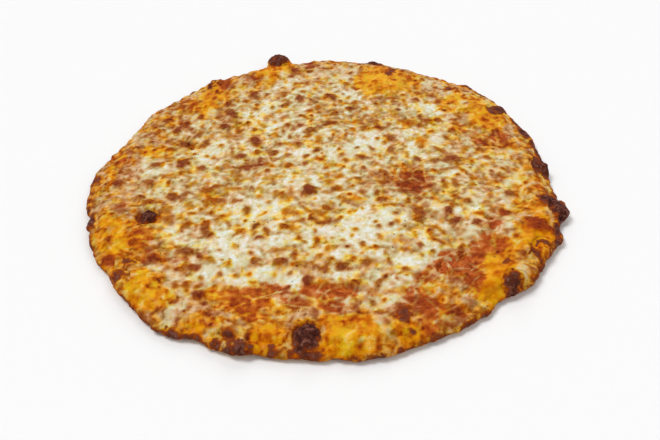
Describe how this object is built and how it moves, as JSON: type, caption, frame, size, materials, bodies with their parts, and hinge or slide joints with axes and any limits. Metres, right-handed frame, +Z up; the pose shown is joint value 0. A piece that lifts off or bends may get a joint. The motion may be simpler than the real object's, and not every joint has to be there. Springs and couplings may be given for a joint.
{
  "type": "rose sauce pizza",
  "caption": "Whole round thin-crust pizza with a low puffed and charred rim, rose tomato sauce and browned melted cheese, flat underneath to rest on a board, pan or plate.",
  "frame": {"origin": "middle of the outline's box, on the surface that the pizza rests on", "axes": "+Z up through the pizza; +Y away from the side nearest the viewer in the picture; +X to the viewer's right"},
  "size_m": [0.3144, 0.3188, 0.0142],
  "materials": {
    "crust": "baked dough, golden brown and matte, charred dark brown at the edge and on its blisters",
    "rose_sauce": "wet orange-red tomato and cream sauce with an oily sheen",
    "cheese": "melted cream cheese colour with brown blisters, golden and oily over the rim",
    "dried_herbs": "dark dry green-brown flakes"
  },
  "bodies": {
    "root": {"crust": "crust", "rose_sauce": "rose_sauce", "cheese": "cheese"}
  },
  "joints": []
}
